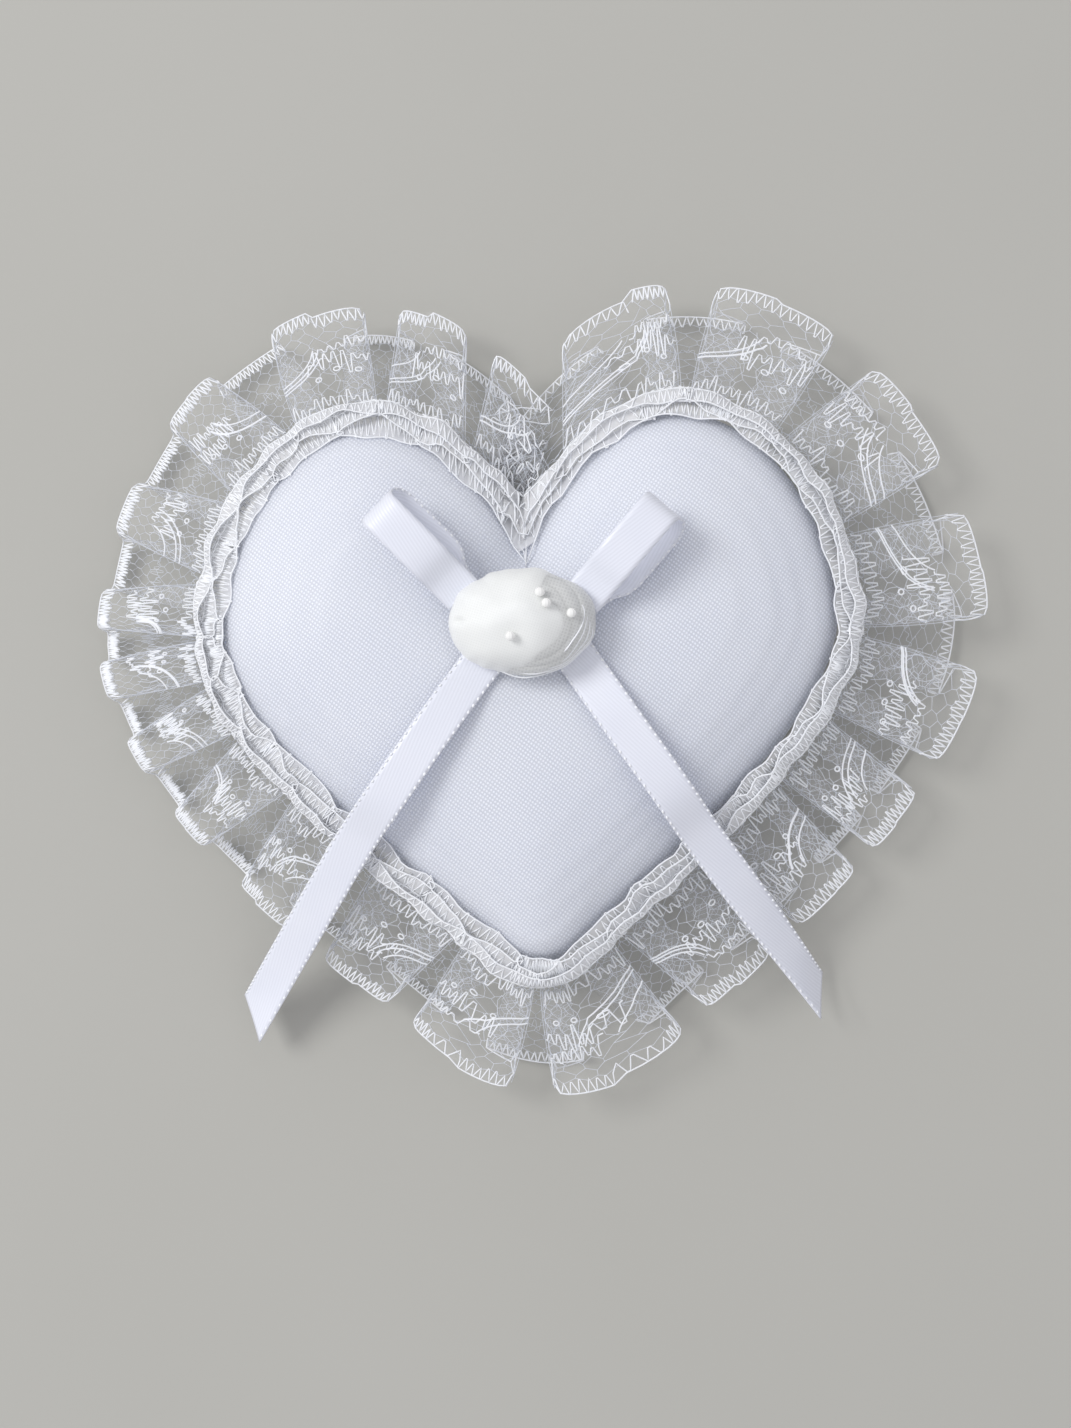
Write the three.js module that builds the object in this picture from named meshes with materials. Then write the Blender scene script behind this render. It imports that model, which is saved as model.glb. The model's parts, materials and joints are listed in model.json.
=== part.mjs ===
// Ring bearer pillow: a heart of satin with a box-pleated lace frill, a ribbon bow and a covered rosette.
// Millimetres, +Z up. The origin is the heart's centre on the flat of the back, where the pillow rests.
import * as THREE from "three";

// Driving dimensions
const heartHalfWidth = 50.5; // seam outline, at its widest
const lobeTop = 33.8; // from the origin up to the top of each lobe
const notchHeight = 14; // from the origin up to the notch
const tipDepth = 55; // from the origin down to the tip
const seamHeight = 11.5; // seam plane above the table
const crownHeight = 14; // top of the pillow above the seam plane
const roundingReach = 30; // how far in from the seam the crown goes on rising
const coverWall = 0.5;
const seamAllowance = 1.4; // from the covers' inside in to the filling, at the seam
const threadThickness = 0.4;
const gap = 0.3; // air between pieces that touch on the real pillow

const laceThickness = 0.6;
const flounceReach = 22; // frill, measured outwards in plan
const flounceEdgeHeight = 4.6; // middle of the pleats' height at the frill's outer edge
const flouncePleatHeight = 3.1; // half the height of the pleats at the outer edge
const headingHeight = 6; // the pleated lace that stands up round the seam
const headingPleatDepth = 1.1; // half the depth of its pleats at the top edge
const headingLean = 0.3; // how far its top edge leans outwards
// Where each box pleat's middle lies on the outer edge: degrees round the heart from its right-hand side.
const pleatAngles = [
  88, 71, 50, 27, 5, -14, -30, -43, -62, -82, -102,
  -119, -137, -152, -164, -175, -184, -199, -216, -238, -255,
];

const ribbonWidth = 6.35;
const ribbonThickness = 0.4;
const ribbonFloat = 0.8; // bow above the cover's highest point under it
const armClearance = 2.2; // from the rosette's edge to where a ribbon starts, so that it can lift
const loopLength = 15;
const loopHeight = 6.2;
const loopOffset = 5.4; // from the bow's middle to where a loop's line crosses the X axis
const loopAngle = 47; // between a loop and the X axis
const tailReach = 67; // from the hinge to the end, in plan
const tailOffset = 3.5;
const leftTailAngle = 33.6; // outwards from straight down
const rightTailAngle = 35.5;
const tailLift = 3; // tail above the heading that it crosses
const tailEndHeight = 5;
const tailSlant = 2.6; // half the difference between the two edges at the cut end

const rosetteLength = 22.2;
const rosetteWidth = 16.2;
const rosetteHeight = 7;
const rosetteX = -1.2; // the rosette sits a little off the bow's middle
const rosetteY = 0.3;
const sheerWall = 0.4;
const crossingThickness = 1;
const pearlDiameter = 1.5;
const pearlPlaces = [[3.2, 3.9], [4.1, 2.2], [7.8, 0.6], [-1.5, -2.6]]; // from the rosette's middle

const looks = {
  satin: { color: 0xf0f2fa, roughness: 0.38 },
  lace: { color: 0xf6f8fb, roughness: 0.8 },
  ribbon: { color: 0xf3f4fa, roughness: 0.35 },
  sheer: { color: 0xf3f4f1, roughness: 0.6 },
  pearl: { color: 0xf7f5f0, roughness: 0.25 },
  thread: { color: 0xf5f5f5, roughness: 0.7 },
  filling: { color: 0xfafafa, roughness: 0.95 },
};

const pillow = new THREE.Group();
const turn = 2 * Math.PI;

function add(name, look, geometry, parent = pillow) {
  const mesh = new THREE.Mesh(geometry, new THREE.MeshStandardMaterial({ ...looks[look], metalness: 0 }));
  mesh.name = name;
  parent.add(mesh);
  return mesh;
}

// A closed body through rings of equally many points. The last ring joins the first, or both ends are capped:
// from the ring's middle or, where a ring is two rows of points back to back, from row to row.
function loft(rings, closed, twoRows = false) {
  const size = rings[0].length;
  const points = rings.flat();
  const faces = [];
  const spans = closed ? rings.length : rings.length - 1;
  for (let i = 0; i < spans; i++) {
    const a = i * size;
    const b = ((i + 1) % rings.length) * size;
    for (let j = 0; j < size; j++) {
      const k = (j + 1) % size;
      faces.push(a + j, a + k, b + k, a + j, b + k, b + j);
    }
  }
  if (!closed) {
    for (const [start, flip] of [[0, true], [(rings.length - 1) * size, false]]) {
      const cap = twoRows ? stripCap(start, size) : fanCap(points, start, size);
      if (flip) cap.reverse();
      faces.push(...cap);
    }
  }
  const geometry = new THREE.BufferGeometry().setFromPoints(points);
  geometry.setIndex(facingOut(points, faces));
  geometry.computeVertexNormals();
  return geometry;
}

function fanCap(points, start, size) {
  const middle = new THREE.Vector3();
  for (let j = 0; j < size; j++) middle.addScaledVector(points[start + j], 1 / size);
  const hub = points.push(middle) - 1;
  return Array.from({ length: size }, (_, j) => [start + j, start + ((j + 1) % size), hub]).flat();
}

function stripCap(start, size) {
  return Array.from({ length: size / 2 - 1 }, (_, i) => {
    const [a, b, c, d] = [i, i + 1, size - 2 - i, size - 1 - i].map((j) => start + j);
    return [a, b, c, a, c, d];
  }).flat();
}

function facingOut(points, faces) {
  let volume = 0;
  for (let i = 0; i < faces.length; i += 3) {
    const [a, b, c] = [points[faces[i]], points[faces[i + 1]], points[faces[i + 2]]];
    volume += a.dot(b.clone().cross(c));
  }
  return volume > 0 ? faces : faces.reverse();
}

// Heart outline: the right half as curves from the notch to the tip, mirrored for the left half.
const rightHalf = new THREE.Path();
rightHalf.moveTo(0, notchHeight);
rightHalf.bezierCurveTo(
  0.067 * heartHalfWidth, notchHeight + 0.353 * (lobeTop - notchHeight),
  0.27 * heartHalfWidth, lobeTop, 0.49 * heartHalfWidth, lobeTop,
);
rightHalf.bezierCurveTo(0.77 * heartHalfWidth, lobeTop, heartHalfWidth, 0.48 * lobeTop, heartHalfWidth, 0);
rightHalf.bezierCurveTo(
  heartHalfWidth, -0.32 * tipDepth, 0.396 * heartHalfWidth, -0.715 * tipDepth,
  0.115 * heartHalfWidth, -0.956 * tipDepth,
);
rightHalf.quadraticCurveTo(0.064 * heartHalfWidth, -tipDepth, 0, -tipDepth);

// A point of the seam, by the share of the way round, clockwise from the notch.
function seamPoint(share) {
  const round = share - Math.floor(share);
  const p = rightHalf.getPoint(round < 0.5 ? 2 * round : 2 * (1 - round));
  return round < 0.5 ? p : new THREE.Vector2(-p.x, p.y);
}

// Square to the seam, outwards. In the notch itself it belongs to the right lobe.
function seamNormal(share) {
  const step = 0.002;
  const back = Math.abs(share - Math.round(share)) < step ? 0 : step;
  const along = seamPoint(share + step).sub(seamPoint(share - back)).normalize();
  return new THREE.Vector2(-along.y, along.x);
}

// The way the frill spreads: square to the seam, but turned up out of the notch, where the lobes meet.
function frillDirection(share) {
  const n = seamNormal(share);
  const round = share - Math.floor(share);
  const lean = Math.min(round, 1 - round) < 0.002 ? 0 : 0.15;
  if (n.y > 0 && n.x * (0.5 - round) < 0) n.x *= lean;
  return n.normalize();
}

// A point at a distance out from the seam, or in from it where the distance is negative.
function besideSeam(share, distance) {
  const way = frillDirection(share);
  return seamPoint(share).addScaledVector(way, distance / way.dot(seamNormal(share)));
}

const outlineSteps = 60;
const outlineShares = Array.from({ length: outlineSteps }, (_, i) => i / outlineSteps);

function outlineAt(distance) {
  return outlineShares.map((share) => besideSeam(share, distance));
}

const seamOutline = outlineAt(0);

function distanceTo(outline, x, y) {
  let least = Infinity;
  outline.forEach((a, i) => {
    const b = outline[(i + 1) % outline.length];
    const [ex, ey] = [b.x - a.x, b.y - a.y];
    const along = ((x - a.x) * ex + (y - a.y) * ey) / (ex * ex + ey * ey);
    const t = Math.min(1, Math.max(0, along));
    least = Math.min(least, Math.hypot(x - a.x - t * ex, y - a.y - t * ey));
  });
  return least;
}

function isInside({ x, y }) {
  let inside = false;
  seamOutline.forEach((a, i) => {
    const b = seamOutline[(i + 1) % outlineSteps];
    if (a.y > y !== b.y > y && x < a.x + ((y - a.y) * (b.x - a.x)) / (b.y - a.y)) inside = !inside;
  });
  return inside;
}

// How full the pillow is at a distance in from its outline, from 0 at the seam to 1.
function fullness(distance) {
  const out = 1 - Math.min(distance, roundingReach) / roundingReach;
  return (1 - out ** 2.3) ** 0.45;
}

const flatShare = 0.8; // fullness at which the back has reached the table

function topZ(x, y) {
  return seamHeight + crownHeight * fullness(distanceTo(seamOutline, x, y));
}

// Rings from the outline in to the middle, at heights from rise(fullness).
function domeRings(inset, fractions, rise) {
  const outline = outlineAt(-inset);
  return fractions.map((f) =>
    outline.map(({ x, y }) => {
      const full = f === 1 ? 0 : fullness(distanceTo(outline, f * x, f * y));
      return new THREE.Vector3(f * x, f * y, rise(full));
    }),
  );
}

const ringFractions = [1, 0.97, 0.9, 0.78, 0.6, 0.38, 0.14];

function cover(riseOutside, riseInside) {
  const outside = domeRings(0, ringFractions, riseOutside);
  const inside = domeRings(coverWall, ringFractions, riseInside);
  return loft([...outside.reverse(), ...inside], false);
}

function backDepth(full, depth) {
  return depth * Math.min(1, full / flatShare);
}

add("top_cover", "satin", cover(
  (full) => seamHeight + gap / 2 + (crownHeight - gap / 2) * full,
  (full) => seamHeight + gap / 2 + (crownHeight - gap / 2 - coverWall) * full,
));
add("back_cover", "satin", cover(
  (full) => seamHeight - gap / 2 - backDepth(full, seamHeight - gap / 2),
  (full) => seamHeight - gap / 2 - backDepth(full, seamHeight - gap / 2 - coverWall),
));

const fillingInset = coverWall + seamAllowance;
const fillingTop = domeRings(fillingInset, ringFractions,
  (full) => seamHeight + 0.5 + (crownHeight - coverWall - gap - 0.6) * full);
const fillingBack = domeRings(fillingInset, ringFractions,
  (full) => seamHeight - 0.5 - backDepth(full, seamHeight - coverWall - gap - 0.6));
add("fibre_filling", "filling", loft([...fillingTop.reverse(), ...fillingBack], false));

// A thread of round section. Its points lie in one plane, square to flat. It closes on itself or ends square.
function thread(points, closed, flat) {
  const sides = 6;
  const radius = threadThickness / 2;
  const count = points.length;
  const rings = points.map((p, i) => {
    const before = points[closed ? (i + count - 1) % count : Math.max(i - 1, 0)];
    const after = points[closed ? (i + 1) % count : Math.min(i + 1, count - 1)];
    const across = flat.clone().cross(after.clone().sub(before)).normalize();
    return Array.from({ length: sides }, (_, k) =>
      p.clone()
        .addScaledVector(across, radius * Math.cos((turn * k) / sides))
        .addScaledVector(flat, radius * Math.sin((turn * k) / sides)));
  });
  return loft(rings, closed);
}

function levelThread(outline, z) {
  return thread(outline.map(({ x, y }) => new THREE.Vector3(x, y, z)), true, new THREE.Vector3(0, 0, 1));
}

// The machine seam that joins the two covers runs just inside their walls.
const seamThreadInset = coverWall + gap + threadThickness / 2;
add("seam_thread", "thread", levelThread(outlineAt(-seamThreadInset), seamHeight));

// Lace: one strip, pleated and stitched down round the seam, with the heading above the stitching and the
// flounce below it. Both follow the same pleats.
const laceBase = gap + laceThickness / 2; // gather line, outwards from the seam
const headingFoot = seamHeight + 0.8;

function pleatShare(degrees) {
  const aim = (degrees * Math.PI) / 180;
  let best = 0;
  let least = Infinity;
  for (let i = 0; i < 720; i++) {
    const s = i / 720;
    const p = seamPoint(s).addScaledVector(frillDirection(s), flounceReach);
    const off = 1 - Math.cos(Math.atan2(p.y, p.x) - aim);
    if (off < least) [best, least] = [s, off];
  }
  return best;
}

const pleatShares = pleatAngles.map(pleatShare).sort((a, b) => a - b);

// Columns of the lace: where each stands on the seam, and its height in the pleat from -1 to 1.
function laceColumns(stepsPerPleat) {
  return pleatShares.flatMap((from, i) => {
    const last = i === pleatShares.length - 1;
    const to = last ? pleatShares[0] + 1 : pleatShares[i + 1];
    return Array.from({ length: stepsPerPleat }, (_, k) => {
      const phase = k / stepsPerPleat;
      const wave = Math.tanh(1.8 * Math.cos(turn * phase)) / Math.tanh(1.8);
      const shift = 0.06 * Math.sin(2 * turn * phase);
      return { share: from + (to - from) * phase, shift: (to - from) * shift, wave };
    });
  });
}

function flounceSection({ share, shift, wave }) {
  const rows = [0, 0.3, 0.65, 1];
  const middle = rows.map((v) => {
    const at = share + shift * v;
    const p = besideSeam(at, laceBase).addScaledVector(frillDirection(at), flounceReach * v);
    const fall = (seamHeight - gap - flounceEdgeHeight) * v ** 1.2;
    return new THREE.Vector3(p.x, p.y, seamHeight - gap - fall + flouncePleatHeight * v ** 0.8 * wave);
  });
  const half = new THREE.Vector3(0, 0, laceThickness / 2);
  return [...middle.map((p) => p.clone().add(half)), ...middle.map((p) => p.clone().sub(half)).reverse()];
}

function headingSection({ share, wave }) {
  const rows = [0, 0.5, 1];
  const side = (v, out) => {
    const { x, y } = besideSeam(share, laceBase + headingLean * v + headingPleatDepth * v * wave + out);
    return new THREE.Vector3(x, y, headingFoot + headingHeight * v);
  };
  const half = laceThickness / 2;
  return [...rows.map((v) => side(v, half)), ...rows.map((v) => side(v, -half)).reverse()];
}

const headingColumns = laceColumns(6);
add("lace_frill", "lace", loft(laceColumns(8).map(flounceSection), true));
add("lace_heading", "lace", loft(headingColumns.map(headingSection), true));

// The stitching that holds the pleats lies in front of the heading's foot.
const stitchOut = laceBase + laceThickness / 2 + headingPleatDepth / 4 + gap + threadThickness / 2;
const stitchLine = headingColumns.map(({ share }) => besideSeam(share, stitchOut));
add("gathering_thread", "thread", levelThread(stitchLine, headingFoot + threadThickness));

// Bow
function insideRosette(x, y, clearance) {
  return Math.hypot(
    (x - rosetteX) / (rosetteLength / 2 + clearance), (y - rosetteY) / (rosetteWidth / 2 + clearance)) < 1;
}

// A ribbon's line in plan: where it leaves the rosette, and the way it goes.
function bowArm(offset, angleDegrees) {
  const angle = (angleDegrees * Math.PI) / 180;
  const along = new THREE.Vector2(Math.cos(angle), Math.sin(angle));
  const start = new THREE.Vector2(offset, 0);
  while (insideRosette(start.x, start.y, armClearance)) start.addScaledVector(along, 0.1);
  return { start, along, across: new THREE.Vector2(-along.y, along.x) };
}

const arms = {
  bow_loop_left: bowArm(-loopOffset, 180 - loopAngle),
  bow_loop_right: bowArm(loopOffset, loopAngle),
  ribbon_tail_left: bowArm(-tailOffset, 270 - leftTailAngle),
  ribbon_tail_right: bowArm(tailOffset, 270 + rightTailAngle),
};

function armPoint({ start, along, across }, reach, side = 0) {
  return start.clone().addScaledVector(along, reach).addScaledVector(across, side);
}

function highestUnder(arm) {
  let high = 0;
  for (let reach = 0; reach <= loopLength; reach += 1) {
    const { x, y } = armPoint(arm, reach);
    high = Math.max(high, topZ(x, y));
  }
  return high;
}

const bowZ = ribbonFloat + Math.max(...Object.values(arms).map(highestUnder));

// A flat ribbon through (distance, height) stations out along an arm. slant(i) moves its two edges apart.
function ribbon(arm, stations, closed, slant = () => 0) {
  const count = stations.length;
  const rings = stations.map((at, i) => {
    const before = stations[closed ? (i + count - 1) % count : Math.max(i - 1, 0)];
    const after = stations[closed ? (i + 1) % count : Math.min(i + 1, count - 1)];
    const way = after.clone().sub(before).normalize();
    const corner = (side, face) => {
      const reach = at.x - (way.y * face * ribbonThickness) / 2 + side * slant(i);
      const { x, y } = armPoint(arm, reach, (side * ribbonWidth) / 2);
      return new THREE.Vector3(x, y, at.y + (way.x * face * ribbonThickness) / 2);
    };
    return [corner(-1, -1), corner(1, -1), corner(1, 1), corner(-1, 1)];
  });
  return loft(rings, closed);
}

function loopStations() {
  const l = loopLength;
  const h = loopHeight;
  const shape = new THREE.SplineCurve([
    [0.02, 0.14], [0.2, 0.02], [0.55, 0], [0.88, 0.1], [0.99, 0.48], [0.88, 0.9], [0.6, 1], [0.3, 0.84],
    [0.06, 0.4], [0.02, 0.14],
  ].map(([x, y]) => new THREE.Vector2(x * l, bowZ + y * h)));
  return shape.getSpacedPoints(28).slice(0, -1);
}

add("bow_loop_left", "ribbon", ribbon(arms.bow_loop_left, loopStations(), true));
add("bow_loop_right", "ribbon", ribbon(arms.bow_loop_right, loopStations(), true));

// A tail floats over the face, clears the heading and falls to its cut end.
function tailStations(arm) {
  let edge = 0;
  while (isInside(armPoint(arm, edge))) edge += 0.5;
  const headingZ = headingFoot + headingHeight + tailLift;
  const over = tailReach - edge;
  const shape = new THREE.SplineCurve([
    [0, bowZ], [0.3 * edge, bowZ + 1.4], [0.72 * edge, bowZ + 0.2], [edge, headingZ],
    [edge + 0.35 * over, headingZ - 0.33 * (headingZ - tailEndHeight)],
    [edge + 0.7 * over, headingZ - 0.7 * (headingZ - tailEndHeight)], [tailReach, tailEndHeight],
  ].map(([x, y]) => new THREE.Vector2(x, y)));
  return shape.getSpacedPoints(22);
}

for (const [name, hand] of [["ribbon_tail_left", 1], ["ribbon_tail_right", -1]]) {
  const stations = tailStations(arms[name]);
  const slant = (i) => (i === stations.length - 1 ? hand * tailSlant : 0);
  add(name, "ribbon", ribbon(arms[name], stations, false, slant));
}

// Everything in the bow's middle is set out from the rosette's own middle.
const bowMiddle = new THREE.Group();
bowMiddle.position.set(rosetteX, rosetteY, bowZ);
pillow.add(bowMiddle);

// The flat crossing of the ribbons under the rosette, bound by thread and tacked down to the cover.
const crossingLength = 0.72 * rosetteLength;
const crossingWidth = 0.72 * rosetteWidth;

function oval(z) {
  const steps = 28;
  return Array.from({ length: steps }, (_, i) => new THREE.Vector3(
    (crossingLength / 2) * Math.cos((turn * i) / steps),
    (crossingWidth / 2) * Math.sin((turn * i) / steps), z));
}

const crossingFaces = [oval(-crossingThickness / 2), oval(crossingThickness / 2)];
add("bow_crossing", "ribbon", loft(crossingFaces, false), bowMiddle);

// The binding goes right round the crossing. The tack goes over it and down on both sides to the cover.
const threadOut = gap + threadThickness / 2;
const threadSide = crossingWidth / 2 + threadOut;
const threadRise = crossingThickness / 2 + threadOut;
const threadX = crossingLength * 0.1;

function crossingThread(x, foot, closed) {
  const path = new THREE.Path();
  const turnIn = threadRise / 2;
  path.moveTo(-threadSide, closed ? foot + turnIn : foot);
  path.lineTo(-threadSide, threadRise - turnIn);
  path.quadraticCurveTo(-threadSide, threadRise, -threadSide + turnIn, threadRise);
  path.lineTo(threadSide - turnIn, threadRise);
  path.quadraticCurveTo(threadSide, threadRise, threadSide, threadRise - turnIn);
  path.lineTo(threadSide, closed ? foot + turnIn : foot);
  if (closed) {
    path.quadraticCurveTo(threadSide, foot, threadSide - turnIn, foot);
    path.lineTo(-threadSide + turnIn, foot);
    path.quadraticCurveTo(-threadSide, foot, -threadSide, foot + turnIn);
  }
  const points = path.getPoints(4).map((p) => new THREE.Vector3(x, p.x, p.y));
  if (closed) points.pop();
  return thread(points, closed, new THREE.Vector3(1, 0, 0));
}

const tackFoot = gap - bowZ + Math.max(
  topZ(rosetteX - threadX, rosetteY + threadSide), topZ(rosetteX - threadX, rosetteY - threadSide));
add("binding_thread", "thread", crossingThread(threadX, -threadRise, true), bowMiddle);
add("tack_thread", "thread", crossingThread(-threadX, tackFoot, false), bowMiddle);

// Rosette: a padded oval under a sheer cover, with a folded sheer overlay on its right side.
const rosette = new THREE.Group();
rosette.position.z = threadRise + threadThickness / 2 + gap;
bowMiddle.add(rosette);

function rosettePoint(azimuth, elevationDegrees, out) {
  const elevation = (elevationDegrees * Math.PI) / 180;
  const flat = Math.cos(elevation);
  return new THREE.Vector3(
    (rosetteLength / 2 + out) * flat * Math.cos(azimuth), (rosetteWidth / 2 + out) * flat * Math.sin(azimuth),
    (rosetteHeight + out) * Math.sin(elevation));
}

const domeSteps = 24;
const domeElevations = [0, 16, 34, 54, 76];

function domeRing(elevationDegrees, out) {
  return Array.from({ length: domeSteps }, (_, i) =>
    rosettePoint((turn * i) / domeSteps, elevationDegrees, out));
}

const dome = (out) => domeElevations.map((elevation) => domeRing(elevation, out));
add("rosette_pad", "filling", loft(dome(-sheerWall - gap), false), rosette);
add("rosette_cover", "sheer", loft([...dome(0).reverse(), ...dome(-sheerWall)], false), rosette);

const overlayOut = gap + sheerWall;
const overlaySteps = 14; // of the rosette's own steps, centred on its right-hand end
const overlaySections = Array.from({ length: overlaySteps + 1 }, (_, i) => {
  const azimuth = (turn * (i - overlaySteps / 2)) / domeSteps;
  const row = (out) => domeElevations.map((elevation) => rosettePoint(azimuth, elevation, out));
  return [...row(overlayOut), ...row(gap).reverse()];
});
add("rosette_overlay", "sheer", loft(overlaySections, false, true), rosette);

// Pearls sit on the outermost layer of sheer.
pearlPlaces.forEach(([x, y], i) => {
  const out = Math.hypot(x / (rosetteLength / 2 + overlayOut), y / (rosetteWidth / 2 + overlayOut));
  const skin = (rosetteHeight + overlayOut) * Math.sqrt(1 - out ** 2);
  const pearl = add("pearl_" + (i + 1), "pearl", new THREE.SphereGeometry(pearlDiameter / 2, 10, 8), rosette);
  pearl.position.set(x, y, skin + gap + pearlDiameter / 2);
});

export default pillow;
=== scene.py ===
import json
import math
import bmesh
import bpy
from mathutils import Matrix, Vector, noise
from mathutils.bvhtree import BVHTree


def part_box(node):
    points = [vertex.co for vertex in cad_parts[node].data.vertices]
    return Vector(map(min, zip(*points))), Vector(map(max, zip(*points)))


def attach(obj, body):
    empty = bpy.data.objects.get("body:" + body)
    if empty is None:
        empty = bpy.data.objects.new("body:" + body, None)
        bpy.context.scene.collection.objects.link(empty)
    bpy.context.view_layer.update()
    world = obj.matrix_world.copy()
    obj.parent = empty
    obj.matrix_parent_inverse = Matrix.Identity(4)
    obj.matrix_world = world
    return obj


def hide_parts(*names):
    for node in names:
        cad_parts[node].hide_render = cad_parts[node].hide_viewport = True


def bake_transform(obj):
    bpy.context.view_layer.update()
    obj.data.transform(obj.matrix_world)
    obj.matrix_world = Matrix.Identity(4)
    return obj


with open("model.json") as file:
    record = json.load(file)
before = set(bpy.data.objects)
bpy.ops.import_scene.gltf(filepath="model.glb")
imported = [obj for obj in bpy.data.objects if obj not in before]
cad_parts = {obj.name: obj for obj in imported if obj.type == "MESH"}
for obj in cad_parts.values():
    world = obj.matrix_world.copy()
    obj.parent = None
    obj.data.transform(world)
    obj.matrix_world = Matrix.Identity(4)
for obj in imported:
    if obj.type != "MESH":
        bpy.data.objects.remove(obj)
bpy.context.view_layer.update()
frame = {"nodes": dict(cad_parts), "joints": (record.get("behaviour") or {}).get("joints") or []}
mm = 0.001
turn = 2 * math.pi
noise.seed_set(7)  # noise_vector is otherwise different on each run


# Camera: straight above the pillow, turned a little
camera = {"aim": (0.6 * mm, -14.1 * mm, 18 * mm), "distance": 315 * mm, "turn": -2.3, "lens": 50}
cameraData = bpy.data.cameras.new("camera")
cameraData.lens = camera["lens"]
cameraData.sensor_width = 36
cameraData.clip_start = 0.01
cameraObject = bpy.data.objects.new("camera", cameraData)
cameraObject.location = Vector(camera["aim"]) + Vector((0, 0, camera["distance"]))
cameraObject.rotation_euler = (0, 0, math.radians(camera["turn"]))
bpy.context.scene.collection.objects.link(cameraObject)
bpy.context.scene.camera = cameraObject
print("camera set")


# Small helpers
def linear(hexColour):
    channels = [int(hexColour[i:i + 2], 16) / 255 for i in (1, 3, 5)]
    return tuple(c / 12.92 if c <= 0.04045 else ((c + 0.055) / 1.055) ** 2.4 for c in channels) + (1.0,)


def mix(a, b, share):
    return a + (b - a) * share


def smooth(low, high, value):
    t = min(1.0, max(0.0, (value - low) / (high - low)))
    return t * t * (3 - 2 * t)


def makePiece(name, bm, material):
    mesh = bpy.data.meshes.new(name)
    bm.to_mesh(mesh)
    bm.free()
    mesh.polygons.foreach_set("use_smooth", [True] * len(mesh.polygons))
    mesh.materials.append(material)
    piece = bpy.data.objects.new(name, mesh)
    bpy.context.scene.collection.objects.link(piece)
    return piece


def applyModifiers(piece):
    settled = bpy.data.meshes.new_from_object(piece.evaluated_get(bpy.context.evaluated_depsgraph_get()))
    piece.modifiers.clear()
    piece.data = settled
    piece.data.name = piece.name


# Threads laid through lines of points, as one mesh
def makeThreads(name, lines, thickness, material):
    curve = bpy.data.curves.new(name, "CURVE")
    curve.dimensions = "3D"
    curve.bevel_depth = thickness / 2
    curve.bevel_resolution = 0
    curve.use_fill_caps = True
    for points, closed in lines:
        spline = curve.splines.new("POLY")
        spline.points.add(len(points) - 1)
        spline.points.foreach_set("co", [c for p in points for c in (*p, 1)])
        spline.use_cyclic_u = closed
    holder = bpy.data.objects.new(name + "_line", curve)
    bpy.context.scene.collection.objects.link(holder)
    bpy.context.view_layer.update()
    mesh = bpy.data.meshes.new_from_object(holder.evaluated_get(bpy.context.evaluated_depsgraph_get()))
    bpy.data.objects.remove(holder)
    mesh.materials.clear()
    mesh.materials.append(material)
    mesh.name = name
    mesh.polygons.foreach_set("use_smooth", [True] * len(mesh.polygons))
    piece = bpy.data.objects.new(name, mesh)
    bpy.context.scene.collection.objects.link(piece)
    return piece


# Materials
def addNode(tree, kind, inputs=None, **settings):
    node = tree.nodes.new(kind)
    for name, value in settings.items():
        setattr(node, name, value)
    for socket, value in (inputs or {}).items():
        if isinstance(value, bpy.types.NodeSocket):
            tree.links.new(value, node.inputs[socket])
        else:
            node.inputs[socket].default_value = value
    return node


def startMaterial(name):
    material = bpy.data.materials.new(name)
    material.use_nodes = True
    material.node_tree.nodes.clear()
    return material, material.node_tree


def finishMaterial(tree, inputs):
    shader = addNode(tree, "ShaderNodeBsdfPrincipled", inputs)
    addNode(tree, "ShaderNodeOutputMaterial", {"Surface": shader.outputs["BSDF"]})


def waveScale(spacing):
    return turn / (20 * spacing)  # a Wave texture's scale for bands this far apart, in metres


# A cloudy change between two close colours
def cloudyColour(tree, coordinates, scale, light, dark):
    cloud = addNode(tree, "ShaderNodeTexNoise", {"Vector": coordinates, "Scale": scale, "Detail": 3.0})
    return addNode(tree, "ShaderNodeMix", {
        "Factor": cloud.outputs["Fac"], "A": linear(light), "B": linear(dark)}, data_type="RGBA")


# The colour with painted shade: darker where the weave sinks, down to lowest, and painted lighter where it
# rises when highest is over 1
def shadedWeaveColour(tree, base, height, lowest, highest=1.0):
    paintedShade = addNode(tree, "ShaderNodeMapRange", {"Value": height, "To Min": lowest, "To Max": highest})
    return addNode(tree, "ShaderNodeMix", {
        "Factor": 1.0, "A": base.outputs["Result"], "B": paintedShade.outputs["Result"]},
        data_type="RGBA", blend_type="MULTIPLY")


def threadWaves(tree, coordinates, spacing, angle):
    turned = addNode(tree, "ShaderNodeMapping", {
        "Vector": coordinates, "Rotation": (0, 0, math.radians(angle))})
    return addNode(tree, "ShaderNodeTexWave", {
        "Vector": turned.outputs["Vector"], "Scale": waveScale(spacing), "Distortion": 0.4, "Detail": 1.0,
        "Detail Scale": 2.0}, wave_type="BANDS", bands_direction="X")


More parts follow.
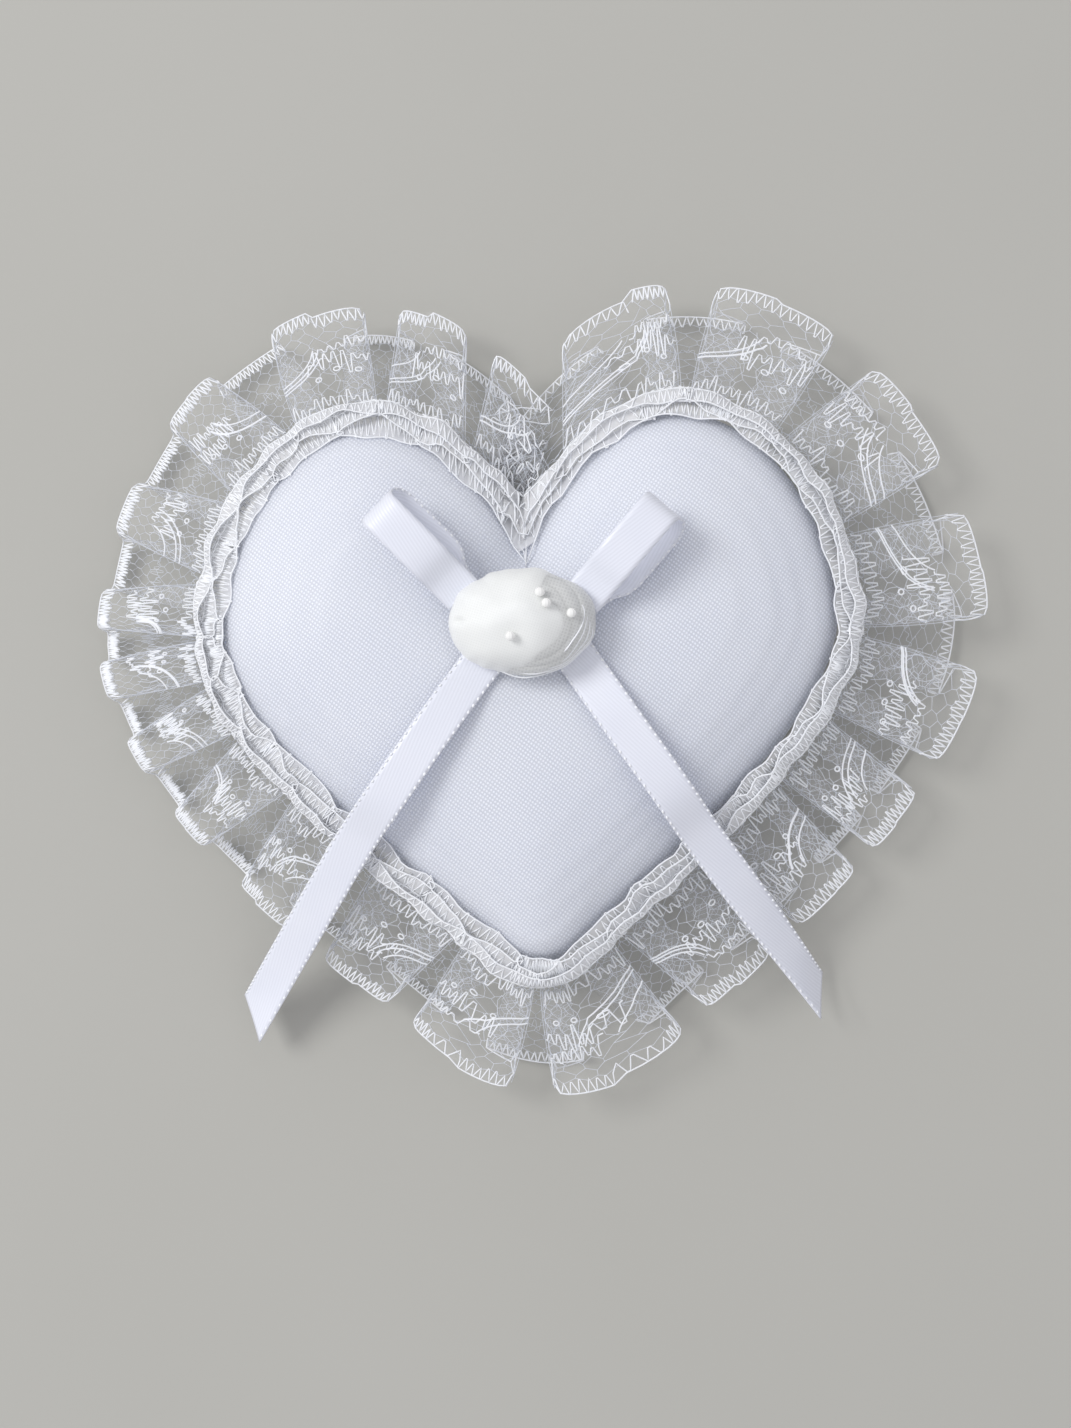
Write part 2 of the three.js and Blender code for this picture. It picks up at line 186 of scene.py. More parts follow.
# Polyester satin, woven: long floats give it a soft broad sheen and a fine diagonal line.
# The real weave repeats every 0.38 mm. It is drawn at 0.5 and 0.56 mm so that it shows.
def wovenSatin():
    material, tree = startMaterial("polyester_satin_woven")
    place = addNode(tree, "ShaderNodeTexCoord").outputs["Object"]
    warp = threadWaves(tree, place, 0.5 * mm, 34)
    weft = threadWaves(tree, place, 0.56 * mm, -52)
    weave = addNode(tree, "ShaderNodeMath", {
        0: warp.outputs["Fac"], 1: weft.outputs["Fac"]}, operation="MULTIPLY")
    base = cloudyColour(tree, place, 42.0, "#F3F6FE", "#E9EDF9")
    # Painted shade and highlight: the weave's hollows are darkened to 0.76 of the base and its raised floats
    # lightened up to 1.1
    shadedBase = shadedWeaveColour(tree, base, weave.outputs["Value"], 0.76, 1.1)
    roughness = addNode(tree, "ShaderNodeMapRange", {
        "Value": weave.outputs["Value"], "To Min": 0.52, "To Max": 0.4})
    bump = addNode(tree, "ShaderNodeBump", {
        "Strength": 0.8, "Distance": 0.08 * mm, "Height": weave.outputs["Value"]})
    finishMaterial(tree, {
        "Base Color": shadedBase.outputs["Result"], "Roughness": roughness.outputs["Result"],
        "Normal": bump.outputs["Normal"], "Sheen Weight": 0.25, "Sheen Roughness": 0.4, "IOR": 1.5,
        "Subsurface Weight": 0.5, "Subsurface Radius": (1.0, 1.0, 1.0), "Subsurface Scale": 8 * mm})
    return material


# Satin ribbon, woven on a narrow loom: fine ribs and a soft shine. The ribs are too fine to show, so they are
# drawn at 0.5 mm.
def ribbonSatin():
    material, tree = startMaterial("satin_ribbon_woven")
    place = addNode(tree, "ShaderNodeUVMap", uv_map="cloth").outputs["UV"]
    ribs = threadWaves(tree, place, 0.5 * mm, 78)
    base = cloudyColour(tree, place, 120.0, "#EFF1F9", "#E5E8F3")
    # Painted shade: the ribs' hollows are darkened to 0.93 of the base
    shadedBase = shadedWeaveColour(tree, base, ribs.outputs["Fac"], 0.93)
    roughness = addNode(tree, "ShaderNodeMapRange", {
        "Value": ribs.outputs["Fac"], "To Min": 0.42, "To Max": 0.3})
    bump = addNode(tree, "ShaderNodeBump", {
        "Strength": 0.25, "Distance": 0.05 * mm, "Height": ribs.outputs["Fac"]})
    finishMaterial(tree, {
        "Base Color": shadedBase.outputs["Result"], "Roughness": roughness.outputs["Result"],
        "Normal": bump.outputs["Normal"], "Sheen Weight": 0.2, "Sheen Roughness": 0.3, "IOR": 1.5})
    return material


# Textured nylon lace yarn, knitted: matt and bright, with a fibrous edge.
def laceYarn(name, light, dark):
    material, tree = startMaterial(name)
    place = addNode(tree, "ShaderNodeTexCoord").outputs["Object"]
    base = cloudyColour(tree, place, 700.0, light, dark)
    fibres = addNode(tree, "ShaderNodeTexNoise", {"Vector": place, "Scale": 5000.0, "Detail": 2.0})
    roughness = addNode(tree, "ShaderNodeMapRange", {
        "Value": fibres.outputs["Fac"], "To Min": 0.6, "To Max": 0.85})
    bump = addNode(tree, "ShaderNodeBump", {
        "Strength": 0.4, "Distance": 0.04 * mm, "Height": fibres.outputs["Fac"]})
    finishMaterial(tree, {
        "Base Color": base.outputs["Result"], "Roughness": roughness.outputs["Result"],
        "Normal": bump.outputs["Normal"], "Sheen Weight": 0.3})
    return material


# Nylon lace ground, knitted: a mesh so fine and open that it only veils what is behind it. Its top edge is
# knitted closer, so it is drawn half solid there.
def laceGround():
    material, tree = startMaterial("nylon_lace_ground_knitted")
    place = addNode(tree, "ShaderNodeUVMap", uv_map="cloth").outputs["UV"]
    base = cloudyColour(tree, place, 300.0, "#FFFFFF", "#F7F8FC")
    down = addNode(tree, "ShaderNodeSeparateXYZ", {"Vector": place})
    cover = addNode(tree, "ShaderNodeMapRange", {
        "Value": down.outputs["Y"], "From Min": 5 * mm, "From Max": 7.5 * mm, "To Min": 0.5, "To Max": 0.07})
    finishMaterial(tree, {
        "Base Color": base.outputs["Result"], "Roughness": 0.8, "Alpha": cover.outputs["Result"]})
    return material


# Polyester organza, plain woven: crisp and milky, with a fine square mesh. Its real spacing is 0.25 mm. It is
# drawn coarser so that it shows: 0.4 mm over the padding and 0.5 mm where it is folded.
def wovenOrganza(name, spacing, hollowShade):
    material, tree = startMaterial(name)
    place = addNode(tree, "ShaderNodeTexCoord").outputs["Object"]
    warp = threadWaves(tree, place, spacing, 20)
    weft = threadWaves(tree, place, spacing, 110)
    weave = addNode(tree, "ShaderNodeMath", {
        0: warp.outputs["Fac"], 1: weft.outputs["Fac"]}, operation="MAXIMUM")
    base = cloudyColour(tree, place, 260.0, "#F3F4F2", "#E9EBE9")
    # Painted shade: the weave's hollows are darkened to hollowShade of the base
    shadedBase = shadedWeaveColour(tree, base, weave.outputs["Value"], hollowShade)
    bump = addNode(tree, "ShaderNodeBump", {
        "Strength": 0.3, "Distance": 0.05 * mm, "Height": weave.outputs["Value"]})
    finishMaterial(tree, {
        "Base Color": shadedBase.outputs["Result"], "Roughness": 0.62, "Normal": bump.outputs["Normal"],
        "Sheen Weight": 0.3, "Subsurface Weight": 0.3, "Subsurface Radius": (1.0, 1.0, 1.0),
        "Subsurface Scale": 2 * mm})
    return material


# Pearlised acrylic, moulded and dipped: smooth, creamy, with a clear lacquer over it.
def dippedPearl():
    material, tree = startMaterial("acrylic_pearl_dipped")
    place = addNode(tree, "ShaderNodeTexCoord").outputs["Object"]
    base = cloudyColour(tree, place, 900.0, "#FAFAF8", "#F1F1EE")
    finishMaterial(tree, {
        "Base Color": base.outputs["Result"], "Roughness": 0.22, "Coat Weight": 0.5, "Coat Roughness": 0.1})
    return material


# Spun polyester sewing thread: two plies twisted, drawn as a slanting line every 0.5 mm.
def sewingThread():
    material, tree = startMaterial("polyester_thread_spun")
    place = addNode(tree, "ShaderNodeTexCoord").outputs["Object"]
    ply = threadWaves(tree, place, 0.5 * mm, 40)
    base = cloudyColour(tree, place, 800.0, "#F8F9FB", "#E9ECF2")
    bump = addNode(tree, "ShaderNodeBump", {
        "Strength": 0.5, "Distance": 0.05 * mm, "Height": ply.outputs["Fac"]})
    finishMaterial(tree, {
        "Base Color": base.outputs["Result"], "Roughness": 0.7, "Normal": bump.outputs["Normal"]})
    return material


# Painted board: plain and pale, with a very slight unevenness.
def paleBoard():
    material, tree = startMaterial("board_painted")
    place = addNode(tree, "ShaderNodeTexCoord").outputs["Object"]
    base = cloudyColour(tree, place, 9.0, "#B9B8B2", "#B2B1AA")
    finishMaterial(tree, {"Base Color": base.outputs["Result"], "Roughness": 0.75})
    return material


satin = wovenSatin()
ribbonCloth = ribbonSatin()
boldYarn = laceYarn("nylon_lace_yarn_bold", "#FDFEFF", "#F1F4FA")
fineYarn = laceYarn("nylon_lace_yarn_fine", "#E9ECF3", "#D8DDE7")
ground = laceGround()
# Painted shade in the weave hollows: 0.94 over the padding, and deeper, 0.84, on the folded copy, which
# therefore reads darker
organza = wovenOrganza("polyester_organza_woven", 0.4 * mm, 0.94)
foldedOrganza = wovenOrganza("polyester_organza_folded", 0.5 * mm, 0.84)
pearl = dippedPearl()
cotton = sewingThread()
print("materials made")


# Floor and light
studio = {
    "floorSize": 3, "keyPlace": (-1.05, 0.55, 1.2), "keySize": 0.7, "keyPower": 14.0,
    "fill": 0.7, "fillColour": "#FAFAFF",
}
floorForm = bmesh.new()
bmesh.ops.create_grid(floorForm, x_segments=1, y_segments=1, size=studio["floorSize"])
floor = makePiece("floor", floorForm, paleBoard())
keyData = bpy.data.lights.new("key", "AREA")
keyData.shape = "DISK"
keyData.size = studio["keySize"]
keyData.energy = studio["keyPower"]
key = bpy.data.objects.new("key", keyData)
key.location = studio["keyPlace"]
key.rotation_euler = (-Vector(studio["keyPlace"])).to_track_quat("-Z", "Y").to_euler()
bpy.context.scene.collection.objects.link(key)
world = bpy.data.worlds.new("studio")
world.use_nodes = True
world.node_tree.nodes["Background"].inputs["Color"].default_value = linear(studio["fillColour"])
world.node_tree.nodes["Background"].inputs["Strength"].default_value = studio["fill"]
bpy.context.scene.world = world
bpy.context.scene.view_settings.view_transform = "Standard"
print("floor and light set")


# Heart outline, as in the frame: metres, clockwise from the notch
heart = {
    "halfWidth": 50.5 * mm, "lobeTop": 33.8 * mm, "notch": 14 * mm, "tip": 55 * mm, "seam": 11.5 * mm,
    "crown": 13.5 * mm, "rounding": 30 * mm, "flatShare": 0.8,
    "sections": 80, "outlinePoints": 240, "tableSteps": 2400,
}


def bezierPoint(points, t):
    while len(points) > 1:
        points = [a.lerp(b, t) for a, b in zip(points, points[1:])]
    return points[0]


def halfOutline():
    w, top, notch, tip = heart["halfWidth"], heart["lobeTop"], heart["notch"], heart["tip"]
    pieces = [
        [(0, notch), (0.067 * w, notch + 0.353 * (top - notch)), (0.27 * w, top), (0.49 * w, top)],
        [(0.49 * w, top), (0.77 * w, top), (w, 0.48 * top), (w, 0)],
        [(w, 0), (w, -0.32 * tip), (0.396 * w, -0.715 * tip), (0.115 * w, -0.956 * tip)],
        [(0.115 * w, -0.956 * tip), (0.064 * w, -tip), (0, -tip)],
    ]
    points = [Vector(pieces[0][0])]
    for piece in pieces:
        controls = [Vector(p) for p in piece]
        points += [bezierPoint(controls, (i + 1) / heart["sections"]) for i in range(heart["sections"])]
    lengths = [0.0]
    for a, b in zip(points, points[1:]):
        lengths.append(lengths[-1] + (b - a).length)
    return points, lengths


halfPoints, halfLengths = halfOutline()


def alongTable(xs, ys, x):
    low, high = 0, len(xs) - 1
    while high - low > 1:
        middle = (low + high) // 2
        if xs[middle] <= x:
            low = middle
        else:
            high = middle
    share = (x - xs[low]) / (xs[high] - xs[low])
    return ys[low] + (ys[high] - ys[low]) * share


def seamPoint(share):
    around = share % 1.0
    half = 2 * around if around < 0.5 else 2 * (1 - around)
    p = alongTable(halfLengths, halfPoints, min(half, 1.0) * halfLengths[-1])
    return p.copy() if around < 0.5 else Vector((-p.x, p.y))


def seamNormal(share):
    step = 0.002
    back = 0 if abs(share - round(share)) < step else step
    along = (seamPoint(share + step) - seamPoint(share - back)).normalized()
    return Vector((-along.y, along.x))


# The way the frill spreads: square to the seam, but turned up out of the notch
def frillDirection(share):
    n = seamNormal(share)
    around = share % 1.0
    if n.y > 0 and n.x * (0.5 - around) < 0:
        n.x *= 0 if min(around, 1 - around) < 0.002 else 0.15
    return n.normalized()


tableSteps = heart["tableSteps"]
frillTable = [(frillDirection(i / tableSteps), seamNormal(i / tableSteps)) for i in range(tableSteps + 1)]


# A point this far out from the seam, measured square to it, and then further along the frill's own way
def besideSeam(share, distance, reach=0.0):
    at = (share % 1.0) * tableSteps
    i = min(int(at), tableSteps - 1)
    way = frillTable[i][0].lerp(frillTable[i + 1][0], at - i).normalized()
    normal = frillTable[i][1].lerp(frillTable[i + 1][1], at - i).normalized()
    return seamPoint(share) + way * (distance / max(0.35, way.dot(normal)) + reach), way


outlineRing = [seamPoint(i / heart["outlinePoints"]) for i in range(heart["outlinePoints"])]


def distanceToSeam(x, y):
    here = Vector((x, y))
    least = 1.0
    for a, b in zip(outlineRing, outlineRing[1:] + outlineRing[:1]):
        edge = b - a
        t = min(1.0, max(0.0, (here - a).dot(edge) / edge.length_squared))
        least = min(least, (here - a - edge * t).length)
    return least


def fullness(distance):
    out = 1 - min(distance, heart["rounding"]) / heart["rounding"]
    return (1 - out ** 2.3) ** 0.45


# Cushion: a satin heart, filled. It swells, and is held near its covers' shape.
cushionValues = {
    "rings": [0.985, 0.96, 0.92, 0.86, 0.78, 0.68, 0.56, 0.43, 0.29, 0.15],
    "voxel": 1.5 * mm, "lowest": 0.15 * mm,
    "simulated": 10, "pressure": 4.0, "frames": 20, "mostMove": 0.7 * mm, "looseCloth": -0.012,
    "smoothing": 60, "smoothInside": 5 * mm,
    "bulge": 0.7 * mm, "bulgeRise": 4 * mm, "bulgeReach": (1 * mm, 8 * mm),
}


def cushionHeight(x, y, side):
    full = fullness(distanceToSeam(x, y))
    if side > 0:
        return heart["seam"] + heart["crown"] * full
    return heart["seam"] * (1 - min(1.0, full / heart["flatShare"]))


def cushionForm():
    bm = bmesh.new()
    ring = [bm.verts.new((p.x, p.y, heart["seam"])) for p in outlineRing]
    start = [bm.edges.new((a, b)) for a, b in zip(ring, ring[1:] + ring[:1])]
    for side in (1, -1):
        edges, before = start, 1.0
        for share in cushionValues["rings"]:
            made = bmesh.ops.extrude_edge_only(bm, edges=edges)["geom"]
            edges = [e for e in made if isinstance(e, bmesh.types.BMEdge) and all(v in made for v in e.verts)]
            points = [v for v in made if isinstance(v, bmesh.types.BMVert)]
            for v in points:
                v.co.x *= share / before
                v.co.y *= share / before
                v.co.z = cushionHeight(v.co.x, v.co.y, side)
            before = share
        bmesh.ops.holes_fill(bm, edges=edges, sides=0)
    bmesh.ops.triangulate(bm, faces=[f for f in bm.faces if len(f.verts) > 4])
    bmesh.ops.recalc_face_normals(bm, faces=bm.faces)
    return bm


# The cover swells under the filling's pressure. It is simulated ten times its size, where cloth is steady.
def swell(cushion):
    scale = cushionValues["simulated"]
    cushion.data.transform(Matrix.Scale(scale, 4))
    remesh = cushion.modifiers.new("even", "REMESH")
    remesh.mode = "VOXEL"
    remesh.voxel_size = cushionValues["voxel"] * scale
    applyModifiers(cushion)
    rest = [v.co.copy() for v in cushion.data.vertices]
    cloth = cushion.modifiers.new("cover", "CLOTH")
    cloth.settings.use_pressure = True
    cloth.settings.uniform_pressure_force = cushionValues["pressure"]
    cloth.settings.effector_weights.gravity = 0
    cloth.settings.shrink_min = cushionValues["looseCloth"]
    cloth.settings.quality = 6
    for step in range(1, cushionValues["frames"] + 1):
        bpy.context.scene.frame_set(step)
    applyModifiers(cushion)
    bpy.context.scene.frame_set(1)
    most = cushionValues["mostMove"] * scale
    for v, start in zip(cushion.data.vertices, rest):
        move = v.co - start
        if move.length > most:
            v.co = start + move * (most / move.length)
        v.co.z = max(v.co.z, cushionValues["lowest"] * scale)
    cushion.data.transform(Matrix.Scale(1 / scale, 4))
    roundOff(cushion)


# The crown is one soft rise with no ridge, and it bulges out over the seam
def roundOff(cushion):
    bm = bmesh.new()
    bm.from_mesh(cushion.data)
    inside = cushionValues["smoothInside"]
    crown = [v for v in bm.verts if v.co.z > heart["seam"] and distanceToSeam(v.co.x, v.co.y) > inside]
    for _ in range(cushionValues["smoothing"]):
        bmesh.ops.smooth_vert(
            bm, verts=crown, factor=0.5, use_axis_x=False, use_axis_y=False, use_axis_z=True)
    for v in bm.verts:
        above = smooth(0, cushionValues["bulgeRise"], v.co.z - heart["seam"])
        near = 1 - smooth(*cushionValues["bulgeReach"], distanceToSeam(v.co.x, v.co.y))
        out = Vector((v.normal.x, v.normal.y, 0))
        v.co += out * (cushionValues["bulge"] * above * near)
    bm.to_mesh(cushion.data)
    bm.free()


def makeCushion():
    cushion = makePiece("satin_cushion", cushionForm(), satin)
    swell(cushion)
    finer = cushion.modifiers.new("finer", "SUBSURF")
    finer.levels = finer.render_levels = 1
    applyModifiers(cushion)
    cushion.data.polygons.foreach_set("use_smooth", [True] * len(cushion.data.polygons))
    if not cushion.data.materials:
        cushion.data.materials.append(satin)
    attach(cushion, "pillow")
    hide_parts("top_cover", "back_cover", "fibre_filling")
    return BVHTree.FromObject(cushion, bpy.context.evaluated_depsgraph_get())


cushionSkin = makeCushion()
print("cushion made")


# Lace strip: box pleated, with a heading above its stitching and a flounce below
lace = {
    "pleats": 21, "pleatLength": 38 * mm, "width": 28 * mm, "heading": 6 * mm, "reach": 22 * mm,
    "hangFrom": 11.2 * mm, "edgeHeight": 4.6 * mm, "lowest": 0.4 * mm,
    "pleatHeight": 3.1 * mm, "pleatSpan": 20.5 * mm, "tabHalf": 0.168,
    "foldBack": 0.215, "gatherFold": 0.33, "headingFold": 0.41, "recess": 0.19, "ruffle": 1.1 * mm,
    "base": 1.3 * mm, "columns": 40, "rows": 26,
}
heading = {
    "inside": (-1.3 * mm, -2.6 * mm), "outside": 1.4 * mm, "foot": 11.7 * mm, "castFrom": 60 * mm,
    "bulge": 3.5, "outerBulge": 1.3, "bulgeHeight": 16.2, "top": 18.1, "uneven": 1.1,
    "aboveSatin": 0.35, "outerAbove": 0.4,
}
# Where each pleat's middle lies: degrees round the heart from its right-hand side
pleatAngles = [
    88, 71, 50, 27, 5, -14, -30, -43, -62, -82, -102,
    -119, -137, -152, -164, -175, -184, -199, -216, -238, -255,
]


# How far along the seam the frill is that ends up at this angle
def pleatShare(degrees):
    aim = math.radians(degrees)
    best, least = 0, 9
    for i in range(720):
        p = besideSeam(i / 720, 0, lace["reach"])[0]
        off = 1 - math.cos(math.atan2(p.y, p.x) - aim)
        if off < least:
            best, least = i / 720, off
    return best


pleatShares = sorted(pleatShare(a) for a in pleatAngles)
pleatShares.append(pleatShares[0] + 1)


# How far round one pleat the cloth has gone, at an even step along the cloth
def foldTable():
    phases = [i / 400 for i in range(401)]
    span, tall = lace["pleatSpan"], lace["pleatHeight"]
    place = [(span * (t + lace["foldBack"] * math.sin(2 * turn * t)), tall * foldWave(t)) for t in phases]
    lengths = [0.0]
    for a, b in zip(place, place[1:]):
        lengths.append(lengths[-1] + math.dist(a, b))
    return [x / lengths[-1] for x in lengths], phases


def foldWave(phase):
    return math.tanh(1.8 * math.cos(turn * phase)) / math.tanh(1.8)


foldLengths, foldPhases = foldTable()


# How much of its reach the flounce keeps round one pleat: all of it on the tab, rounded off at the fold, and
# less in the recess
def tabShape(phase):
    off = min(phase, 1 - phase) / lace["tabHalf"]
    return (1 - off ** 4) ** 0.5 if off < 1 else 0.0


# A point of the lace in place, from how far along the strip it is and how far down from its top edge
def lacePoint(along, down):
    pleat = along / lace["pleatLength"]
    i = math.floor(pleat)
    phase = alongTable(foldLengths, foldPhases, pleat - i)
    i %= lace["pleats"]
    span = pleatShares[i + 1] - pleatShares[i]
    uneven = noise.noise(Vector((i * 3.7, 1.3, 0.5)))
    below = (down - lace["heading"]) / lace["reach"]
    wave = foldWave(phase)
    onLeft = smooth(-0.015, -0.045, seamPoint(pleatShares[i] + span / 2).x)
    if below > 0:
        fold = mix(lace["gatherFold"], lace["foldBack"] - 0.15 * onLeft, below) * (1 + 0.12 * uneven * below)
    else:
        fold = mix(lace["gatherFold"], lace["headingFold"], min(1.0, -below * 8))
    share = pleatShares[i] + span * (phase + fold * math.sin(2 * turn * phase))
    if below < 0:
        return headingPoint(share, -below * lace["reach"] / lace["heading"], math.cos(turn * phase))
    flat, way = besideSeam(share, lace["base"])
    hang = 1 + 0.08 * uneven * (1 - onLeft) + 0.11 * way.x - 0.03 * abs(way.x) - 0.11 * abs(way.y)
    hang -= lace["recess"] * (1 - tabShape(phase)) * (1 - 0.9 * onLeft)
    flat += way * (lace["reach"] * below * hang)
    ruffle = noise.noise(Vector((flat.x, flat.y, 0.0)) * 55) * lace["ruffle"] * below
    fall = (lace["hangFrom"] - lace["edgeHeight"]) * below ** 1.2
    height = heart["seam"] - fall + (0.35 * mm + lace["pleatHeight"] * below ** 0.8) * wave + ruffle
    return Vector((flat.x, flat.y, max(height, lace["lowest"])))


# The heading rises from the stitching, bulges, and rolls over the cushion's rim, further over on the left.
def headingPoint(share, rise, wave):
    openness = smooth(0.04, -0.05, seamPoint(share).x)
    outer = (wave + 1) / 2
    top = mix(mix(*heading["inside"], openness), heading["outside"], outer)
    uneven = noise.noise(Vector((share * 70, rise * 1.5 + outer * 3, 5.0)))
    bulge = (heading["bulge"] + heading["outerBulge"] * outer + heading["uneven"] * uneven) * mm
    profile = [Vector((lace["base"], heading["foot"])),
               Vector((bulge, (heading["bulgeHeight"] + uneven) * mm)),
               Vector((top + heading["uneven"] * mm * uneven, (heading["top"] + 0.1 * outer) * mm))]
    place = bezierPoint(profile, rise)
    flat = besideSeam(share, place.x)[0]
    under = cushionSkin.ray_cast(Vector((flat.x, flat.y, heading["castFrom"])), Vector((0, 0, -1)))[0]
    height = place.y + 0.3 * mm * uneven * rise
    if under and rise > 0.5:
        height = max(height, under.z + (heading["aboveSatin"] + heading["outerAbove"] * outer) * mm)
    return Vector((flat.x, flat.y, height))


stripLength = lace["pleats"] * lace["pleatLength"]


def makeGround():
    columns = lace["pleats"] * lace["columns"]
    bm = bmesh.new()
    cloth = bm.loops.layers.uv.new("cloth")
    bmesh.ops.create_grid(bm, x_segments=columns, y_segments=lace["rows"], size=0.5)
    for face in bm.faces:
        for loop in face.loops:
            u, v = loop.vert.co.x + 0.5, loop.vert.co.y + 0.5
            loop[cloth].uv = (u * stripLength, v * lace["width"])
    for v in bm.verts:
        u, down = v.co.x + 0.5, (v.co.y + 0.5) * lace["width"]
        v.co = lacePoint(u * stripLength, down)
    bmesh.ops.remove_doubles(bm, verts=bm.verts, dist=0.002 * mm)
    bmesh.ops.recalc_face_normals(bm, faces=bm.faces)
    return makePiece("lace_ground", bm, ground)


# Lines are drawn on the flat strip and carried into place, with more points along their long stretches.
def onLace(points, step):
    flat = []
    for (a, b), (c, d) in zip(points, points[1:]):
        count = max(1, round(math.hypot(c - a, d - b) / step))
        flat += [(mix(a, c, k / count), mix(b, d, k / count)) for k in range(count)]
    flat.append(points[-1])
    return [lacePoint(a, b) for a, b in flat], False


# A border: a tall narrow zigzag between two depths. It is left out where the flounce folds back, under a tab.
def zigzags(low, high, spacing, everywhere=False):
    lines, points = [], []
    for k in range(round(stripLength / spacing)):
        share = (k * spacing / lace["pleatLength"]) % 1
        if everywhere or not 0.2 < min(share, 1 - share) < 0.31:
            uneven = 0.12 * (high - low) * math.sin(k * 2.4)
            depth = high if k % 2 else low - uneven
            points.append((k * spacing, depth))
            if k % 3:
                points.append(((k + 0.35) * spacing, depth))
        elif len(points) > 1:
            lines.append(points)
            points = []
    return lines + [points]


def edgeLine(down):
    count = round(stripLength / (0.8 * mm))
    return [(i * stripLength / count, down) for i in range(count + 1)]


laceThreads = {
    "bold": 0.28 * mm, "fine": 0.1 * mm, "boldStep": 0.7 * mm, "fineStep": 1.2 * mm,
    "loopSpacing": 0.56 * mm, "loopWidth": 0.3 * mm, "loopDrift": 1.5 * mm,
    "netCells": 336, "netRows": 12, "netDrop": 1.7 * mm, "netTop": 7.0 * mm, "netRise": 0.45 * mm,
    "netUneven": 0.75 * mm,
    "figureRows": ((-6.3, 6.3, 10.0, 1.5), (-2.5, 6.3, 17.8, 1.9), (-0.5, 6.3, 20.8, 1.1)),
    "arcs": (5.8 * mm, 7.4 * mm, 7.9 * mm), "arcFoot": (-6.3 * mm, 22 * mm), "ring": 0.42 * mm,
    "edgeBorder": (25.7 * mm, 27.9 * mm, 0.46 * mm), "topBorder": (0.1 * mm, 1.9 * mm, 0.42 * mm),
    "lowerBorder": (2.4 * mm, 4.6 * mm, 0.6 * mm), "edgeLines": (28 * mm, 0.0, 2.1 * mm),
}


# A row of uneven narrow loops, such as a pattern bar lays as the lace is knitted
def squareLoops(start, stop, middle, tall, seed):
    points = []
    spacing = laceThreads["loopSpacing"]
    for k in range(round((stop - start) / spacing)):
        a = start + k * spacing
        size = max(0.12, 0.62 + 1.3 * noise.noise(Vector((k * 0.45, seed, 2.0))))
        drift = laceThreads["loopDrift"] * noise.noise(Vector((k * 0.17, seed, 9.0)))
        down = middle + drift + tall * size * (1 if k % 2 else -1)
        points += [(a, down), (a + laceThreads["loopWidth"], down)]
    return points


def ring(along, down, radius):
    angles = [t * turn / 8 for t in range(9)]
    return [(along + radius * math.cos(angle), down + radius * math.sin(angle)) for angle in angles]


# The figures on each pleat: three rows of loops, arcs that sweep in from one side, and small rings. The faint
# ones are wavering lines between them, and rows of loops on the part that folds back.
def motifLines():
    lines, faint = [], []
    for i in range(lace["pleats"]):
        middle = i * lace["pleatLength"]
        hand = -1 if i % 5 == 2 else 1
        for low, high, down, tall in laceThreads["figureRows"]:
            row = squareLoops(low * mm, high * mm, down * mm, tall * mm, i + down * 7)
            lines.append([(middle + hand * a, d) for a, d in row])
        aside, foot = laceThreads["arcFoot"]
        for radius in laceThreads["arcs"]:
            swing = radius * (1 + 0.12 * math.sin(i * 2.3 + radius / mm))
            lines.append([(middle + hand * (aside + swing * math.sin(t * 0.13)),
                           foot - swing * math.cos(t * 0.13)) for t in range(11)])
        for k in range(3):
            a, down = hand * (k * 2.6 - 1.0) * mm, (15.4 + math.sin(k * 2 + i)) * mm
            lines.append(ring(middle + a, down, laceThreads["ring"]))
        for k in range(6):
            a = middle + (k * 2.2 - 5.4) * mm
            faint.append([(a + 0.5 * mm * math.sin(t * 1.3 + k * 2 + i), (11.5 + t * 1.2) * mm)
                          for t in range(9)])
        for down, tall in ((18.5 * mm, 1.6 * mm), (10.5 * mm, 1.3 * mm)):
            faint.append(squareLoops(middle + 14.5 * mm, middle + 23.5 * mm, down, tall, i + 160 + down / mm))
    return lines, faint


# The net between: uneven six-sided cells
def netLines():
    across, rows = laceThreads["netCells"], laceThreads["netRows"]
    cell = stripLength / across

    def corner(i, row):
        wrapped = Vector(((i % (2 * across)) * 0.71, row * 1.3, 4.0))
        jog = noise.noise_vector(wrapped) * laceThreads["netUneven"]
        rise = laceThreads["netRise"] * (1 if (i + row) % 2 else -1)
        down = laceThreads["netTop"] + row * laceThreads["netDrop"] + rise
        return (i * cell / 2 + jog.x, down + jog.y * 0.6)

    lines = [[corner(i, row) for i in range(2 * across + 1)] for row in range(rows)]
    for row in range(rows - 1):
        lines += [[corner(i, row), corner(i, row + 1)] for i in range(2 * across) if (i + row) % 2]
    return lines


# Pillar stitches that run down the strip where the pleats are folded
def foldLines():
    lines = []
    for i in range(lace["pleats"]):
        for phase in (0.16, 0.84):
            share = alongTable(foldPhases, foldLengths, phase)
            lines += [[((i + share) * lace["pleatLength"] + side * 0.25 * mm, 6.5 * mm),
                       ((i + share) * lace["pleatLength"] + side * 0.25 * mm, 27.9 * mm)] for side in (-1, 1)]
    return lines


